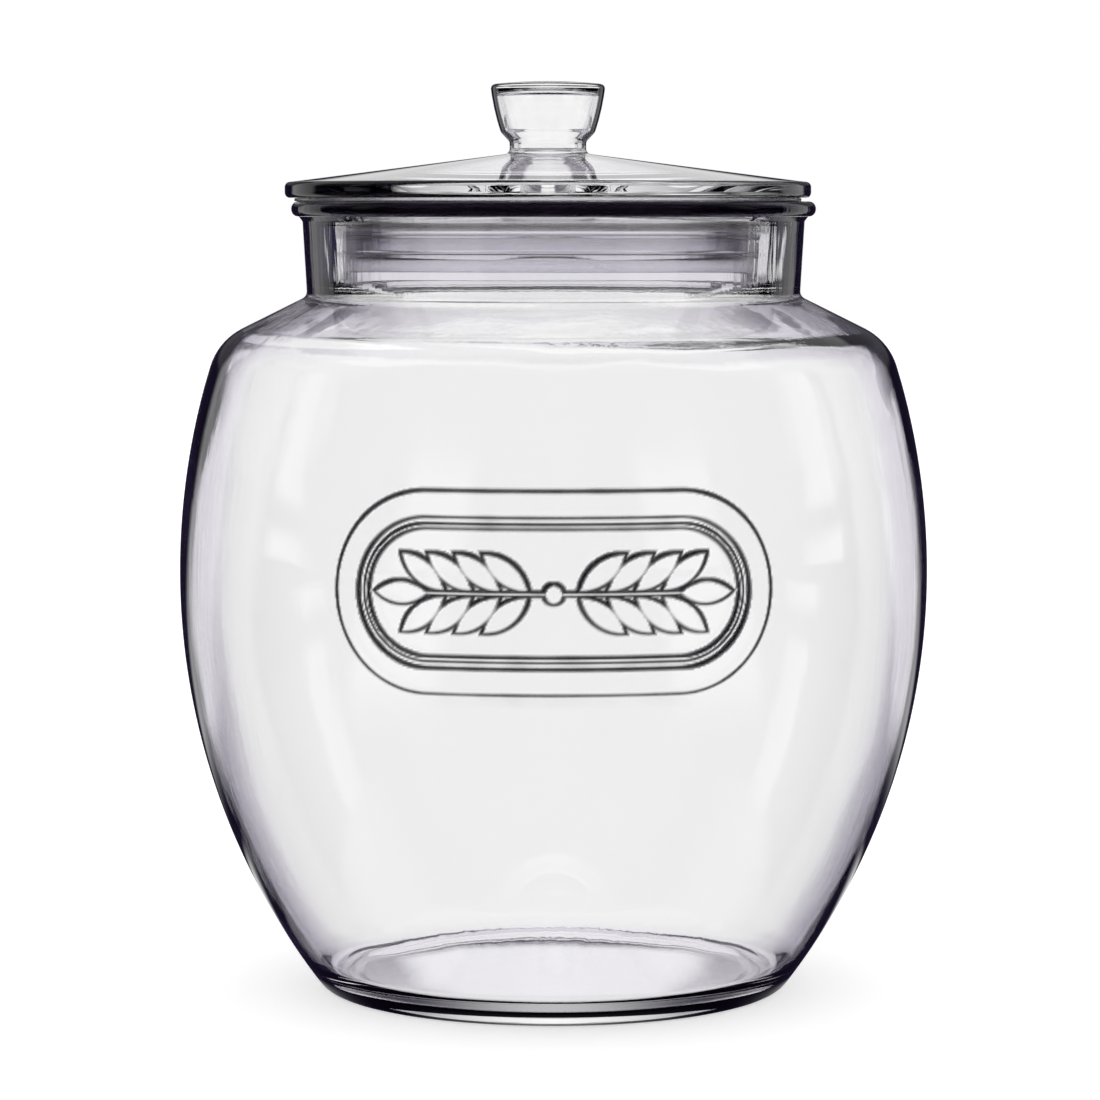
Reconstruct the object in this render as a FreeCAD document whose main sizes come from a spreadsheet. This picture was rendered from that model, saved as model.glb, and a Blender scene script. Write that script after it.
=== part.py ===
"""Glass storage jar with a push-in lid: jar, lid and ribbed seal.

Millimetres, +Z up, origin at the centre of the standing ring.
Each piece is turned about its own axis from an outline whose places come from
the sheet, and its corners are rounded by fillets of a named size.
"""
import FreeCAD, Part
import math
import os

import Sketcher

# Driving sizes: name, value, meaning.  Lengths in mm, angles in degrees.
SIZES = (
    # the body of the jar
    ("belly_radius", 100.0, "outside radius where the jar is widest"),
    ("base_radius", 62.0, "radius where the side would meet the table"),
    ("rim_height", 210.7, "height of the open jar"),
    ("neck_height", 25.1, "from the foot of the neck up to the rim"),
    ("crown_height", 74.2, "from the widest ring up to the foot of the neck"),
    ("shoulder_slope", 26.3, "fall of the shoulder away from the neck"),
    ("shoulder_share", 0.686, "part of the overhang taken by the shoulder"),
    ("bend_radius", 16.5, "outer bend between shoulder and side"),
    ("wall", 3.0, "glass thickness of the body"),
    ("floor_height", 7.6, "middle of the domed inside floor above the table"),
    ("floor_round", 14.0, "inside bend between floor and side"),
    ("heel_round", 5.0, "outer bend between base and side"),
    ("ring_width", 10.5, "standing ring, measured in from base_radius"),
    ("push_up", 3.0, "rise of the base inside the standing ring"),
    # the neck and its rim
    ("bore_radius", 58.1, "inside radius of the neck"),
    ("neck_wall", 7.7, "glass thickness at the foot of the neck"),
    ("neck_flare", 1.1, "how far the neck widens up to its rim"),
    ("neck_fillet", 2.0, "hollow where the neck meets the shoulder"),
    ("throat_round", 8.0, "bend from the bore into the shoulder, inside"),
    ("bead_height", 4.0, "height of the rim bead"),
    ("bead_reach", 3.0, "how far the bead stands out beyond the neck"),
    ("bead_lip", 2.0, "flat underside of the bead"),
    ("bead_round", 1.9, "rounding of the bead"),
    ("bead_taper", 3.3, "height of the taper under the bead"),
    ("mouth_round", 1.5, "rounding of the inner edge of the mouth"),
    # how the lid and its seal sit in the neck
    ("lid_shift", -1.5, "sideways play that the lid has taken up"),
    ("lid_overhang", 0.2, "how far the lid stands out beyond the bead"),
    ("flange_thick", 0.9, "seal flange between the rim and the lid"),
    ("flange_inset", 2.4, "how far the flange stays inside the bead"),
    ("fin_gap", 0.15, "least clearance between fin tips and bore"),
    ("fin_reach", 1.1, "how far the fins stand out from the sleeve"),
    ("fin_root", 1.7, "height of a fin at the sleeve"),
    ("fin_tip", 0.7, "height of a fin at its tip"),
    ("fin_pitch", 4.9, "distance between fins"),
    ("fin_first", 3.4, "from the rim down to the first fin"),
    ("sleeve_wall", 2.0, "thickness of the seal's sleeve"),
    ("sleeve_depth", 17.8, "how far the sleeve reaches into the neck"),
    ("grip_gap", 0.05, "clearance between sleeve and spigot"),
    # the lid
    ("lid_edge", 4.1, "thickness of the lid at its edge"),
    ("edge_round", 1.9, "rounding of the lid's edge"),
    ("lid_slope", 7.3, "rise of the lid towards its knob"),
    ("lid_thick", 5.6, "thickness of the lid under its slope"),
    ("spigot_wall", 6.5, "thickness of the ring under the lid"),
    ("spigot_depth", 15.6, "how far the ring reaches below the lid"),
    ("spigot_round", 1.6, "rounding of the ring's corners"),
    # the knob
    ("knob_neck", 10.2, "radius of the neck under the knob"),
    ("knob_stem", 3.13, "height of that neck above the lid"),
    ("knob_step", 2.6, "height of the slope from the neck out to the side"),
    ("knob_waist", 12.6, "radius at the foot of the side"),
    ("knob_height", 12.6, "height of the side"),
    ("knob_bulge", 60.0, "radius that the side bulges with"),
    ("knob_radius", 15.35, "radius at the top of the side"),
    ("knob_crown", 0.8, "rise of the knob's top"),
    ("knob_wall", 2.2, "glass thickness round the hollow in the knob"),
    ("knob_roof", 2.6, "glass thickness over that hollow"),
    ("hollow_round", 1.2, "rounding of the corners inside the knob"),
    ("hollow_mouth_round", 1.5, "rounding where the hollow opens under the lid"),
    ("knob_foot_round", 1.6, "fillet where the knob meets the lid"),
    ("knob_step_round", 2.2, "rounding of the step"),
    ("knob_edge_round", 1.3, "rounding of the knob's top edge"),
)
FIN_COUNT = 3           # fins round the sleeve
CUT_CLEARANCE = 5.0     # how far the hollow's outline runs out above the rim
FLAT_SHARE = 0.98       # most of a flat that the fillets at its ends may take

VALUE = {name: value for name, value, _ in SIZES}


def make_sheet(doc):
    """Write the driving sizes to the sheet, one alias to a row."""
    sheet = doc.addObject("Spreadsheet::Sheet", "Sizes")
    for row, (name, value, meaning) in enumerate(SIZES, start=1):
        sheet.set("A%d" % row, name)
        sheet.set("B%d" % row, str(value))
        sheet.set("C%d" % row, meaning)
        sheet.setAlias("B%d" % row, name)
    doc.recompute()
    return sheet


def sized(text):
    """Turn size names, written between braces, into cells of the sheet."""
    return text.replace("{", "Sizes.").replace("}", "")


class Outline:
    """A closed outline in the XZ plane, drawn as one run of lines and arcs."""

    def __init__(self, body, name):
        plane = [item for item in body.Origin.OriginFeatures
                 if item.Role == "XZ_Plane"][0]
        self.sketch = body.newObject("Sketcher::SketchObject", name)
        self.sketch.AttachmentSupport = [(plane, "")]
        self.sketch.MapMode = "FlatFace"
        self.run = []       # geometry number, its first end, its last end

    def bind(self, constraint, text):
        """Add a measured constraint that follows the sheet."""
        number = self.sketch.addConstraint(constraint)
        self.sketch.setExpression("Constraints[%d]" % number, sized(text))
        return number

    def _add(self, shape, first, last):
        number = self.sketch.addGeometry(shape, False)
        if self.run:
            before, _, end = self.run[-1]
            self.sketch.addConstraint(
                Sketcher.Constraint("Coincident", before, end, number, first))
        self.run.append((number, first, last))
        return number

    def line(self, start, end):
        return self._add(Part.LineSegment(flat(start), flat(end)), 1, 2)

    def arc(self, centre, start, end, backwards=False):
        """Arc from start to end, anticlockwise unless it runs backwards."""
        first, last = (end, start) if backwards else (start, end)
        radius = math.dist(centre, start)
        angles = [math.atan2(p[1] - centre[1], p[0] - centre[0]) for p in (first, last)]
        if angles[1] < angles[0]:
            angles[1] += 2 * math.pi
        circle = Part.Circle(flat(centre), FreeCAD.Vector(0, 0, 1), radius)
        shape = Part.ArcOfCircle(circle, *angles)
        ends = (2, 1) if backwards else (1, 2)
        return self._add(shape, *ends)

    def place_end(self, number, across=None, up=None):
        """Fix where a line or arc of the run ends."""
        end = [last for item, _, last in self.run if item == number][0]
        self.place(number, end, across, up)

    def place(self, number, point, across=None, up=None):
        where = self.sketch.getPoint(number, point)
        if across is not None:
            self.bind(Sketcher.Constraint("DistanceX", -1, 1, number, point, where.x), across)
        if up is not None:
            self.bind(Sketcher.Constraint("DistanceY", -1, 1, number, point, where.y), up)

    def rule(self, kind, *what):
        return self.sketch.addConstraint(Sketcher.Constraint(kind, *what))

    def on_axis(self, number, point):
        self.rule("PointOnObject", number, point, -2)

    def close(self):
        last, _, end = self.run[-1]
        first, start, _ = self.run[0]
        self.rule("Coincident", last, end, first, start)


def flat(point):
    return FreeCAD.Vector(point[0], point[1], 0)


def limited(text, *flats):
    """Size of a fillet that stays within the flats beside it."""
    limits = ["%g * %s" % (FLAT_SHARE, flat_size) for flat_size in flats]
    return "min(" + "; ".join([text] + limits) + ")"


def turn(body, outline, name, kind="PartDesign::Revolution"):
    """Turn an outline fully about the body's axis."""
    feature = body.newObject(kind, name)
    feature.Profile = outline.sketch
    feature.ReferenceAxis = (outline.sketch, ["V_Axis"])
    feature.Angle = 360
    body.Document.recompute()
    return feature


def ring_edge(shape, radius, height):
    """Name of the circular edge of this radius at this height."""
    for number, edge in enumerate(shape.Edges, start=1):
        if edge.Degenerated or not isinstance(edge.Curve, Part.Circle):
            continue
        curve = edge.Curve
        if abs(curve.Radius - radius) < 1e-4 and abs(curve.Center.z - height) < 1e-4:
            return "Edge%d" % number
    raise ValueError("no ring of radius %.3f at height %.3f" % (radius, height))


def round_rings(body, name, rings, text):
    """Fillet the rings, each given as its radius and height."""
    base = body.Tip
    fillet = body.newObject("PartDesign::Fillet", name)
    fillet.Base = (base, [ring_edge(base.Shape, *ring) for ring in rings])
    fillet.setExpression("Radius", sized(text))
    body.Document.recompute()
    return fillet


# ---------------------------------------------------------------- places
def jar_places(v):
    """Corner points of the jar's outline, worked out from the sizes."""
    slope = math.tan(math.radians(v["shoulder_slope"]))
    neck = v["bore_radius"] + v["neck_wall"]
    neck_foot = v["rim_height"] - v["neck_height"]
    belly = neck_foot - v["crown_height"]
    run = v["shoulder_share"] * (v["belly_radius"] - neck)
    ring_inner = v["base_radius"] - v["ring_width"]
    push = v["push_up"]
    return {
        "dome": (0, push - (ring_inner ** 2 + push ** 2) / (2 * push)),
        "neck": (neck, neck_foot),
        "belly": (v["belly_radius"], belly),
        "corner": (neck + run, neck_foot - run * slope),
    }


def side_centre(widest, through):
    """Centre of the arc that is upright at its widest and ends at a point."""
    inward = widest[0] - through[0]
    away = through[1] - widest[1]
    radius = (inward ** 2 + away ** 2) / (2 * inward)
    return (widest[0] - radius, widest[1])


NECK_RADIUS = "({bore_radius} + {neck_wall})"
NECK_FOOT = "({rim_height} - {neck_height})"
BELLY_HEIGHT = "({rim_height} - {neck_height} - {crown_height})"
SHOULDER_RUN = "({shoulder_share} * ({belly_radius} - {bore_radius} - {neck_wall}))"
SHOULDER_TAN = "tan({shoulder_slope} * 1deg)"
SHOULDER_SIN = "sin({shoulder_slope} * 1deg)"
SHOULDER_COS = "cos({shoulder_slope} * 1deg)"
RIM_RADIUS = "({bore_radius} + {neck_wall} + {neck_flare} + {bead_reach})"
LID_SEAT = "({rim_height} + {flange_thick})"


# ------------------------------------------------------------------- jar
def make_jar(doc):
    v = VALUE
    body = doc.addObject("PartDesign::Body", "jar")
    body.Label = "jar"
    places = jar_places(v)
    belly, corner, neck = places["belly"], places["corner"], places["neck"]
    rim = v["rim_height"]
    neck_top = neck[0] + v["neck_flare"]
    rim_radius = neck_top + v["bead_reach"]
    lip = rim_radius - v["bead_lip"]
    bead = rim - v["bead_height"]
    base = v["base_radius"]
    ring_inner = base - v["ring_width"]
    push = v["push_up"]

    out = Outline(body, "jar_outside")
    hollow = out.arc(places["dome"], (0, push), (ring_inner, 0), backwards=True)
    ring = out.line((ring_inner, 0), (base, 0))
    lower = out.arc(side_centre(belly, (base, 0)), (base, 0), belly)
    upper = out.arc(side_centre(belly, corner), belly, corner)
    shoulder = out.line(corner, neck)
    side = out.line(neck, (neck_top, bead - v["bead_taper"]))
    taper = out.line((neck_top, bead - v["bead_taper"]), (lip, bead))
    under = out.line((lip, bead), (rim_radius, bead))
    edge = out.line((rim_radius, bead), (rim_radius, rim))
    top = out.line((rim_radius, rim), (0, rim))
    out.line((0, rim), (0, push))
    out.close()

    out.on_axis(hollow, 3)
    out.on_axis(hollow, 2)
    out.place(hollow, 2, up="{push_up}")
    out.place(hollow, 1, across="{base_radius} - {ring_width}")
    out.rule("PointOnObject", hollow, 1, -1)
    out.rule("Horizontal", ring)
    out.place_end(ring, across="{base_radius}")
    out.place(lower, 3, up=BELLY_HEIGHT)
    out.place_end(lower, "{belly_radius}", BELLY_HEIGHT)
    out.place(upper, 3, up=BELLY_HEIGHT)
    out.place_end(upper, NECK_RADIUS + " + " + SHOULDER_RUN,
                  NECK_FOOT + " - " + SHOULDER_RUN + " * " + SHOULDER_TAN)
    out.place_end(shoulder, NECK_RADIUS, NECK_FOOT)
    out.place_end(side, NECK_RADIUS + " + {neck_flare}",
                  "{rim_height} - {bead_height} - {bead_taper}")
    out.place_end(taper, RIM_RADIUS + " - {bead_lip}", "{rim_height} - {bead_height}")
    out.rule("Horizontal", under)
    out.place_end(under, across=RIM_RADIUS)
    out.rule("Vertical", edge)
    out.place_end(edge, up="{rim_height}")
    out.rule("Horizontal", top)
    out.on_axis(top, 2)
    for arc, label in ((hollow, "dome_radius"), (lower, "lower_radius"), (upper, "upper_radius")):
        number = out.rule("Radius", arc, out.sketch.Geometry[arc].Radius)
        out.sketch.setDriving(number, False)
        out.sketch.renameConstraint(number, label)
    turn(body, out, "jar_blank")
    round_rings(body, "heel", [(base, 0)], "{heel_round}")
    round_rings(body, "shoulder_bend", [corner], "{bend_radius}")
    round_rings(body, "neck_hollow", [neck], "{neck_fillet}")
    round_rings(body, "bead_edges", [(rim_radius, rim), (rim_radius, bead)],
                limited("{bead_round}", "{bead_height} / 2", "{bead_lip}"))
    hollow_jar(body, places)
    return body


def hollow_jar(body, places):
    """Cut the room inside: the body's walls follow the outside."""
    v = VALUE
    belly, corner, neck = places["belly"], places["corner"], places["neck"]
    wall = v["wall"]
    slope = math.radians(v["shoulder_slope"])
    floor = v["floor_height"]
    low = side_centre(belly, (v["base_radius"], 0))
    high = side_centre(belly, corner)
    widest = (belly[0] - wall, belly[1])
    dome = places["dome"]
    floor_edge = crossing(dome, floor - dome[1], low, widest[0] - low[0])
    bore = v["bore_radius"]
    bore_foot = neck[1] - wall / math.cos(slope) + (neck[0] - bore) * math.tan(slope)
    inset = (corner[0] - wall * math.sin(slope), corner[1] - wall * math.cos(slope))
    bend = meet(high, widest[0] - high[0], inset, slope)
    open_end = v["rim_height"] + CUT_CLEARANCE

    cut = Outline(body, "jar_inside")
    bottom = cut.arc(dome, (0, floor), floor_edge, backwards=True)
    lower = cut.arc(low, floor_edge, widest)
    upper = cut.arc(high, widest, bend)
    shoulder = cut.line(bend, (bore, bore_foot))
    side = cut.line((bore, bore_foot), (bore, open_end))
    top = cut.line((bore, open_end), (0, open_end))
    cut.line((0, open_end), (0, floor))
    cut.close()
    guide = cut.sketch.addGeometry(Part.Point(flat(inset)), True)

    cut.on_axis(bottom, 3)
    cut.on_axis(bottom, 2)
    cut.place(bottom, 2, up="{floor_height}")
    cut.bind(Sketcher.Constraint("Radius", bottom, cut.sketch.Geometry[bottom].Radius),
             "jar_outside.Constraints.dome_radius + ({floor_height} - {push_up}) * 1mm")
    cut.place(lower, 3, up=BELLY_HEIGHT)
    cut.place_end(lower, "{belly_radius} - {wall}", BELLY_HEIGHT)
    cut.place(upper, 3, up=BELLY_HEIGHT)
    for arc, label in ((lower, "lower_radius"), (upper, "upper_radius")):
        cut.bind(Sketcher.Constraint("Radius", arc, cut.sketch.Geometry[arc].Radius),
                 "jar_outside.Constraints." + label + " - {wall} * 1mm")
    cut.place(guide, 1, NECK_RADIUS + " + " + SHOULDER_RUN + " - {wall} * " + SHOULDER_SIN,
              NECK_FOOT + " - " + SHOULDER_RUN + " * " + SHOULDER_TAN
              + " - {wall} * " + SHOULDER_COS)
    cut.rule("PointOnObject", guide, 1, shoulder)
    cut.place_end(shoulder, "{bore_radius}", NECK_FOOT + " - {wall} / " + SHOULDER_COS
                  + " + {neck_wall} * " + SHOULDER_TAN)
    cut.rule("Vertical", side)
    cut.place_end(side, up="{rim_height} + %g" % CUT_CLEARANCE)
    cut.rule("Horizontal", top)
    cut.on_axis(top, 2)
    turn(body, cut, "jar_room", "PartDesign::Groove")
    round_rings(body, "floor_bend", [floor_edge], "{floor_round}")
    round_rings(body, "inner_bend", [bend], "{bend_radius} - {wall}")
    round_rings(body, "throat", [(bore, bore_foot)], "{throat_round}")
    round_rings(body, "mouth_edge", [(bore, v["rim_height"])], "{mouth_round}")


def crossing(first, first_radius, second, second_radius):
    """Where two circles cross on the outer side."""
    apart = math.dist(first, second)
    along = (apart ** 2 + first_radius ** 2 - second_radius ** 2) / (2 * apart)
    beside = math.sqrt(first_radius ** 2 - along ** 2)
    ahead = ((second[0] - first[0]) / apart, (second[1] - first[1]) / apart)
    return (first[0] + ahead[0] * along + ahead[1] * beside,
            first[1] + ahead[1] * along - ahead[0] * beside)


def meet(centre, radius, point, slope):
    """Where the falling line through a point leaves a circle, outer end."""
    along = (math.cos(slope), -math.sin(slope))
    offset = (point[0] - centre[0], point[1] - centre[1])
    half = offset[0] * along[0] + offset[1] * along[1]
    gap = offset[0] ** 2 + offset[1] ** 2 - radius ** 2
    step = -half + math.sqrt(half ** 2 - gap)
    return (point[0] + step * along[0], point[1] + step * along[1])


# ------------------------------------------------------------------- lid
SPIGOT_RADIUS = ("({bore_radius} - abs({lid_shift}) - {fin_gap} - {fin_reach}"
                 " - {sleeve_wall} - {grip_gap})")


def spigot_radius(v):
    fins = v["bore_radius"] - abs(v["lid_shift"]) - v["fin_gap"]
    return fins - v["fin_reach"] - v["sleeve_wall"] - v["grip_gap"]


def make_lid(doc):
    v = VALUE
    body = doc.addObject("PartDesign::Body", "lid")
    body.Label = "lid"
    slope = math.tan(math.radians(v["lid_slope"]))
    seat = v["rim_height"] + v["flange_thick"]
    radius = v["bore_radius"] + v["neck_wall"] + v["neck_flare"]
    radius += v["bead_reach"] + v["lid_overhang"]
    edge_top = seat + v["lid_edge"]
    spigot = spigot_radius(v)
    bore = spigot - v["spigot_wall"]
    foot = seat - v["spigot_depth"]
    knob_foot = edge_top + (radius - v["knob_neck"]) * slope
    neck_top = knob_foot + v["knob_stem"]
    side_foot = neck_top + v["knob_step"]
    knob_edge = side_foot + v["knob_height"]
    summit = knob_edge + v["knob_crown"]

    def under(across):
        return edge_top + (radius - across) * slope - v["lid_thick"]

    knob = v["knob_radius"]
    neck = v["knob_neck"]
    waist = (v["knob_waist"], side_foot)
    crown = (knob ** 2 + v["knob_crown"] ** 2) / (2 * v["knob_crown"])

    out = Outline(body, "lid_section")
    ceiling = out.line((0, under(0)), (bore, under(bore)))
    inside = out.line((bore, under(bore)), (bore, foot))
    tip = out.line((bore, foot), (spigot, foot))
    outside = out.line((spigot, foot), (spigot, seat))
    flange = out.line((spigot, seat), (radius, seat))
    edge = out.line((radius, seat), (radius, edge_top))
    top = out.line((radius, edge_top), (neck, knob_foot))
    stem = out.line((neck, knob_foot), (neck, neck_top))
    step = out.line((neck, neck_top), waist)
    side = out.arc(bulge_centre(waist, (knob, knob_edge), v["knob_bulge"]),
                   waist, (knob, knob_edge))
    cap = out.arc((0, summit - crown), (knob, knob_edge), (0, summit))
    out.line((0, summit), (0, under(0)))
    out.close()

    lid_radius = "(" + RIM_RADIUS + " + {lid_overhang})"
    spigot_bore = "(" + SPIGOT_RADIUS + " - {spigot_wall})"
    rise = " + " + LID_SEAT + " + {lid_edge}"
    lid_tan = "tan({lid_slope} * 1deg)"
    out.on_axis(ceiling, 1)
    out.place(ceiling, 1, up=lid_radius + " * " + lid_tan + rise + " - {lid_thick}")
    out.place_end(ceiling, spigot_bore, "(" + lid_radius + " - " + spigot_bore + ") * "
                  + lid_tan + rise + " - {lid_thick}")
    out.rule("Vertical", inside)
    out.place_end(inside, up=LID_SEAT + " - {spigot_depth}")
    out.rule("Horizontal", tip)
    out.place_end(tip, across=SPIGOT_RADIUS)
    out.rule("Vertical", outside)
    out.place_end(outside, up=LID_SEAT)
    out.rule("Horizontal", flange)
    out.place_end(flange, across=lid_radius)
    out.rule("Vertical", edge)
    out.place_end(edge, up=LID_SEAT + " + {lid_edge}")
    foot_up = "(" + lid_radius + " - {knob_neck}) * " + lid_tan + rise
    out.place_end(top, "{knob_neck}", foot_up)
    out.rule("Vertical", stem)
    stem_up = foot_up + " + {knob_stem}"
    out.place_end(stem, up=stem_up)
    out.place_end(step, "{knob_waist}", stem_up + " + {knob_step}")
    edge_up = stem_up + " + {knob_step} + {knob_height}"
    out.place_end(side, "{knob_radius}", edge_up)
    out.bind(Sketcher.Constraint("Radius", side, v["knob_bulge"]), "{knob_bulge}")
    out.on_axis(cap, 3)
    out.on_axis(cap, 2)
    out.place_end(cap, up=edge_up + " + {knob_crown}")
    turn(body, out, "lid_blank")
    round_rings(body, "lid_edges", [(radius, seat), (radius, edge_top)],
                limited("{edge_round}", "{lid_edge} / 2"))
    round_rings(body, "spigot_edges", [(bore, foot), (spigot, foot), (bore, under(bore))],
                "{spigot_round}")
    round_rings(body, "knob_foot", [(neck, knob_foot)], "{knob_foot_round}")
    round_rings(body, "knob_step_edges", [(neck, neck_top), waist], "{knob_step_round}")
    round_rings(body, "knob_edge", [(knob, knob_edge)], "{knob_edge_round}")
    hollow_knob(body, neck_top, under(neck - v["knob_wall"]), stem_up)
    body.setExpression("Placement.Base.x", sized("{lid_shift}"))
    return body


def hollow_knob(body, neck_top, mouth, stem_up):
    """Cut the hollow that runs from under the lid up into the knob."""
    v = VALUE
    wall = v["knob_wall"]
    spread = math.atan((v["knob_waist"] - v["knob_neck"]) / v["knob_step"])
    lift = wall * math.tan(spread / 2)
    bore = v["knob_neck"] - wall
    foot = v["rim_height"]
    bend = (bore, neck_top + lift)
    waist = (v["knob_waist"] - wall, neck_top + v["knob_step"] + lift)
    roof = neck_top + v["knob_step"] + v["knob_height"] + v["knob_crown"] - v["knob_roof"]
    shoulder = (v["knob_radius"] - wall, roof)

    cut = Outline(body, "knob_inside")
    bottom = cut.line((0, foot), (bore, foot))
    stem = cut.line((bore, foot), bend)
    step = cut.line(bend, waist)
    side = cut.arc(bulge_centre(waist, shoulder, v["knob_bulge"] - wall), waist, shoulder)
    top = cut.line(shoulder, (0, roof))
    cut.line((0, roof), (0, foot))
    cut.close()

    lift_up = " + {knob_wall} * tan(atan(({knob_waist} - {knob_neck}) / {knob_step}) / 2)"
    roof_up = stem_up + " + {knob_step} + {knob_height} + {knob_crown} - {knob_roof}"
    cut.on_axis(bottom, 1)
    cut.place(bottom, 1, up="{rim_height}")
    cut.rule("Horizontal", bottom)
    cut.place_end(bottom, across="{knob_neck} - {knob_wall}")
    cut.rule("Vertical", stem)
    cut.place_end(stem, up=stem_up + lift_up)
    cut.place_end(step, "{knob_waist} - {knob_wall}", stem_up + " + {knob_step}" + lift_up)
    cut.place_end(side, "{knob_radius} - {knob_wall}", roof_up)
    cut.bind(Sketcher.Constraint("Radius", side, v["knob_bulge"] - wall),
             "{knob_bulge} - {knob_wall}")
    cut.rule("Horizontal", top)
    cut.on_axis(top, 2)
    turn(body, cut, "knob_room", "PartDesign::Groove")
    round_rings(body, "knob_room_bends", [bend, waist, shoulder], "{hollow_round}")
    round_rings(body, "knob_room_mouth", [(bore, mouth)], "{hollow_mouth_round}")


def bulge_centre(low, high, radius):
    """Centre of the arc through two points that bulges outwards."""
    middle = ((low[0] + high[0]) / 2, (low[1] + high[1]) / 2)
    chord = math.dist(low, high)
    back = math.sqrt(radius ** 2 - (chord / 2) ** 2)
    along = ((high[0] - low[0]) / chord, (high[1] - low[1]) / chord)
    return (middle[0] - back * along[1], middle[1] + back * along[0])


# ------------------------------------------------------------------ seal
def make_seal(doc):
    """Sleeve, clamped flange and wiper fins of the moulded seal."""
    v = VALUE
    body = doc.addObject("PartDesign::Body", "seal")
    body.Label = "seal"
    rim = v["rim_height"]
    seat = rim + v["flange_thick"]
    bore = spigot_radius(v) + v["grip_gap"]
    sleeve = bore + v["sleeve_wall"]
    fin = sleeve + v["fin_reach"]
    foot = rim - v["sleeve_depth"]
    flange = v["bore_radius"] + v["neck_wall"] + v["neck_flare"]
    flange += v["bead_reach"] - v["flange_inset"]
    root, tip = v["fin_root"], v["fin_tip"]

    sleeve_bore = "(" + SPIGOT_RADIUS + " + {grip_gap})"
    sleeve_side = "(" + sleeve_bore + " + {sleeve_wall})"
    fin_side = "(" + sleeve_side + " + {fin_reach})"
    out = Outline(body, "seal_section")
    corners = [((bore, seat), sleeve_bore, LID_SEAT),
               ((bore, foot), sleeve_bore, "{rim_height} - {sleeve_depth}"),
               ((sleeve, foot), sleeve_side, "{rim_height} - {sleeve_depth}")]
    for number in reversed(range(FIN_COUNT)):
        middle = rim - v["fin_first"] - number * v["fin_pitch"]
        text = "{rim_height} - {fin_first} - %d * {fin_pitch}" % number
        corners += [((sleeve, middle - root / 2), sleeve_side, text + " - {fin_root} / 2"),
                    ((fin, middle - tip / 2), fin_side, text + " - {fin_tip} / 2"),
                    ((fin, middle + tip / 2), fin_side, text + " + {fin_tip} / 2"),
                    ((sleeve, middle + root / 2), sleeve_side, text + " + {fin_root} / 2")]
    corners += [((sleeve, rim), sleeve_side, "{rim_height}"),
                ((flange, rim), RIM_RADIUS + " - {flange_inset}", "{rim_height}"),
                ((flange, seat), RIM_RADIUS + " - {flange_inset}", LID_SEAT)]
    for here, after in zip(corners, corners[1:] + corners[:1]):
        number = out.line(here[0], after[0])
        out.place(number, 1, here[1], here[2])
    out.close()
    turn(body, out, "seal_ring")
    body.setExpression("Placement.Base.x", sized("{lid_shift}"))
    return body


# ----------------------------------------------------------------- write
def check(doc):
    """Stop before writing if anything in the document has failed."""
    for item in doc.Objects:
        bad = [state for state in item.State if state in ("Invalid", "Error")]
        if bad:
            raise RuntimeError("%s is %s" % (item.Name, ", ".join(bad)))
        if item.TypeId == "Sketcher::SketchObject" and not item.FullyConstrained:
            raise RuntimeError("%s is not fully constrained" % item.Name)


def main():
    doc = FreeCAD.newDocument("storage_jar")
    make_sheet(doc)
    bodies = [make_jar(doc), make_lid(doc), make_seal(doc)]
    doc.recompute()
    check(doc)
    for body in bodies:
        if body.Shape.isNull() or not body.Shape.isValid():
            raise RuntimeError("%s has no valid shape" % body.Label)
    os.makedirs("parts", exist_ok=True)
    for body in bodies:
        body.Shape.exportStep("parts/%s.step" % body.Label)
        box = body.Shape.BoundBox
        print("%s: %d solid, %.1f cm3, z %.2f to %.2f" % (
            body.Label, len(body.Shape.Solids), body.Shape.Volume / 1000, box.ZMin, box.ZMax))


main()
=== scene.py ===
"""Glass storage jar: the finished jar, lid and seal, and the studio they stand in.

Every piece is turned about its own upright axis from an outline drawn in the XZ
plane.  Lengths are in metres, angles in radians, and +Z is up.
"""

import math

import bmesh
import bpy
from bpy.props import FloatProperty, FloatVectorProperty, IntProperty, PointerProperty
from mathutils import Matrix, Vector, noise


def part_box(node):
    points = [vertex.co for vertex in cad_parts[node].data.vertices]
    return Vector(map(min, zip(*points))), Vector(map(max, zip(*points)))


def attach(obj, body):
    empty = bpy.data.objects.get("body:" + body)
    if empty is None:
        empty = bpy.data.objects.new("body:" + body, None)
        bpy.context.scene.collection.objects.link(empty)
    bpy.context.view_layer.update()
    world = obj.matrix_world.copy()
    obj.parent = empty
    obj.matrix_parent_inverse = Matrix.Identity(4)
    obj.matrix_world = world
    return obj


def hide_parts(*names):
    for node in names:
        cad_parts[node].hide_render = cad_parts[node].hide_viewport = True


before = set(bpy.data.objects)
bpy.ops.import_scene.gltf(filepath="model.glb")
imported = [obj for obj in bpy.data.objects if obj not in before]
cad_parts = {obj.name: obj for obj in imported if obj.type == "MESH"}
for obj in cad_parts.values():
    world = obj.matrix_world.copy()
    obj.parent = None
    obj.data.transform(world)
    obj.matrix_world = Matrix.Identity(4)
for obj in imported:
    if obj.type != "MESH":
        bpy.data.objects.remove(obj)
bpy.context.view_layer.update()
JAR_LOW, JAR_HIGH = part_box("jar")
LID_LOW, LID_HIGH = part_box("lid")
SEAL_LOW, SEAL_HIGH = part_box("seal")

bl_info = {
    "name": "Glass storage jar",
    "version": (1, 0, 0),
    "blender": (4, 5, 0),
    "location": "3D View > Sidebar > Jar",
    "description": "Models a round glass storage jar with its push-in lid and ribbed seal",
    "category": "Add Mesh",
}

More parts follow.
